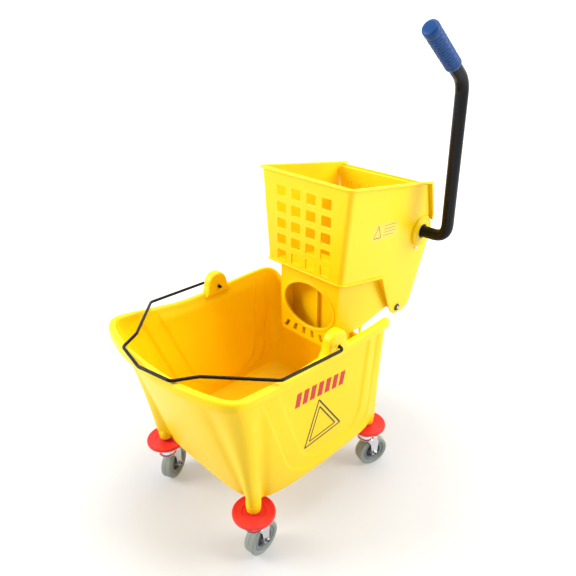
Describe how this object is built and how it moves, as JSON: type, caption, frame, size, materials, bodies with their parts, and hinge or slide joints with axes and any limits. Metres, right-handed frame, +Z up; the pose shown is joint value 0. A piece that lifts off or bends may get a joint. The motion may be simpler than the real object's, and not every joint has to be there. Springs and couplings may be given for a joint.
{
  "type": "mop bucket with wringer",
  "caption": "Wheeled yellow mop bucket with a lift-off side-press wringer, a hand lever, a wire bail handle and swivel casters with round bumpers.",
  "frame": {"origin": "on the floor, under the middle of the bounding box", "axes": "+Z up, -Y towards the bucket's sloping front, +Y towards the wringer and the lever shaft, +X the side the lever is on"},
  "size_m": [0.391, 0.7028, 0.9461],
  "materials": {
    "bucket_yellow": "moulded, satin",
    "wringer_yellow": "moulded, satin",
    "plate_yellow": "moulded, satin",
    "bumper_red": "moulded, satin",
    "stem_steel": "turned",
    "fork_zinc": "bright zinc plated",
    "bolt_steel": "zinc plated",
    "tyre_grey": "non-marking, satin",
    "hub_grey": "moulded",
    "bail_black": "gloss black wire",
    "lever_black": "gloss black",
    "grip_blue": "ribbed, satin",
    "nylon_black": "moulded",
    "roller_white": "moulded",
    "crank_steel": "plated",
    "spring_steel": "spring wire"
  },
  "bodies": {
    "bucket": {"bucket_shell": "bucket_yellow", "caster_stem_front_left": "stem_steel", "caster_stem_front_right": "stem_steel", "caster_stem_back_left": "stem_steel", "caster_stem_back_right": "stem_steel"},
    "bail": {"bail_handle": "bail_black"},
    "bumper_front_left": {"bumper_disc_front_left": "bumper_red"},
    "caster_front_left": {"caster_fork_front_left": "fork_zinc", "axle_bolt_front_left": "bolt_steel"},
    "wheel_front_left": {"tyre_front_left": "tyre_grey", "wheel_hub_front_left": "hub_grey"},
    "bumper_front_right": {"bumper_disc_front_right": "bumper_red"},
    "caster_front_right": {"caster_fork_front_right": "fork_zinc", "axle_bolt_front_right": "bolt_steel"},
    "wheel_front_right": {"tyre_front_right": "tyre_grey", "wheel_hub_front_right": "hub_grey"},
    "bumper_back_left": {"bumper_disc_back_left": "bumper_red"},
    "caster_back_left": {"caster_fork_back_left": "fork_zinc", "axle_bolt_back_left": "bolt_steel"},
    "wheel_back_left": {"tyre_back_left": "tyre_grey", "wheel_hub_back_left": "hub_grey"},
    "bumper_back_right": {"bumper_disc_back_right": "bumper_red"},
    "caster_back_right": {"caster_fork_back_right": "fork_zinc", "axle_bolt_back_right": "bolt_steel"},
    "wheel_back_right": {"tyre_back_right": "tyre_grey", "wheel_hub_back_right": "hub_grey"},
    "wringer": {"wringer_housing": "wringer_yellow", "pivot_rod": "stem_steel", "rod_cap_left": "nylon_black", "rod_cap_right": "nylon_black", "shaft_bush_left": "nylon_black", "shaft_bush_right": "nylon_black", "housing_screw_left": "bolt_steel", "housing_screw_right": "bolt_steel", "return_spring": "spring_steel"},
    "press_plate_body": {"press_plate": "plate_yellow"},
    "lever": {"lever_shaft": "crank_steel", "shaft_retainer": "stem_steel", "lever_tube": "lever_black", "hand_grip": "grip_blue", "crank_arm_left": "crank_steel", "crank_arm_right": "crank_steel", "crank_roller_left": "roller_white", "crank_roller_right": "roller_white"}
  },
  "joints": [
    {"name": "bail_hinge", "type": "hinge", "parent": "bucket", "child": "bail", "pos_m": [0, -0.0494, 0.4195], "axis": [-1, 0, 0], "range_deg": [0, 100]},
    {"name": "bumper_spin_front_left", "type": "hinge", "parent": "bucket", "child": "bumper_front_left", "pos_m": [-0.1415, -0.2328, 0.1165], "axis": [0, 0, 1], "continuous": true},
    {"name": "caster_swivel_front_left", "type": "hinge", "parent": "bucket", "child": "caster_front_left", "pos_m": [-0.1415, -0.2328, 0.0865], "axis": [0, 0, 1], "continuous": true},
    {"name": "wheel_roll_front_left", "type": "hinge", "parent": "caster_front_left", "child": "wheel_front_left", "pos_m": [-0.14841, -0.21727, 0.0365], "axis": [0.9135, 0.4067, 0], "continuous": true},
    {"name": "bumper_spin_front_right", "type": "hinge", "parent": "bucket", "child": "bumper_front_right", "pos_m": [0.1415, -0.2328, 0.1165], "axis": [0, 0, 1], "continuous": true},
    {"name": "caster_swivel_front_right", "type": "hinge", "parent": "bucket", "child": "caster_front_right", "pos_m": [0.1415, -0.2328, 0.0865], "axis": [0, 0, 1], "continuous": true},
    {"name": "wheel_roll_front_right", "type": "hinge", "parent": "caster_front_right", "child": "wheel_front_right", "pos_m": [0.14031, -0.21584, 0.0365], "axis": [0.9976, 0.0698, 0], "continuous": true},
    {"name": "bumper_spin_back_left", "type": "hinge", "parent": "bucket", "child": "bumper_back_left", "pos_m": [-0.1415, 0.1139, 0.1165], "axis": [0, 0, 1], "continuous": true},
    {"name": "caster_swivel_back_left", "type": "hinge", "parent": "bucket", "child": "caster_back_left", "pos_m": [-0.1415, 0.1139, 0.0865], "axis": [0, 0, 1], "continuous": true},
    {"name": "wheel_roll_back_left", "type": "hinge", "parent": "caster_back_left", "child": "wheel_back_left", "pos_m": [-0.14387, 0.13073, 0.0365], "axis": [0.9903, 0.1392, 0], "continuous": true},
    {"name": "bumper_spin_back_right", "type": "hinge", "parent": "bucket", "child": "bumper_back_right", "pos_m": [0.1415, 0.1139, 0.1165], "axis": [0, 0, 1], "continuous": true},
    {"name": "caster_swivel_back_right", "type": "hinge", "parent": "bucket", "child": "caster_back_right", "pos_m": [0.1415, 0.1139, 0.0865], "axis": [0, 0, 1], "continuous": true},
    {"name": "wheel_roll_back_right", "type": "hinge", "parent": "caster_back_right", "child": "wheel_back_right", "pos_m": [0.14731, 0.12987, 0.0365], "axis": [0.9397, -0.342, 0], "continuous": true},
    {"name": "wringer_lift_off", "type": "slide", "parent": "bucket", "child": "wringer", "axis": [0, 0, 1], "range_m": [0, 0.13]},
    {"name": "lever_hinge", "type": "hinge", "parent": "wringer", "child": "lever", "pos_m": [0, 0.3104, 0.5205], "axis": [-1, 0, 0], "range_deg": [0, 60], "stiffness_Nm_per_rad": 2, "springref_deg": -22.92},
    {"name": "press_plate_hinge", "type": "hinge", "parent": "wringer", "child": "press_plate_body", "pos_m": [0, 0.2679, 0.3385], "axis": [1, 0, 0], "range_deg": [0, 36.7]}
  ],
  "couplings": [
    {"joint": "press_plate_hinge", "follows": "lever_hinge", "ratio": 0.61}
  ]
}
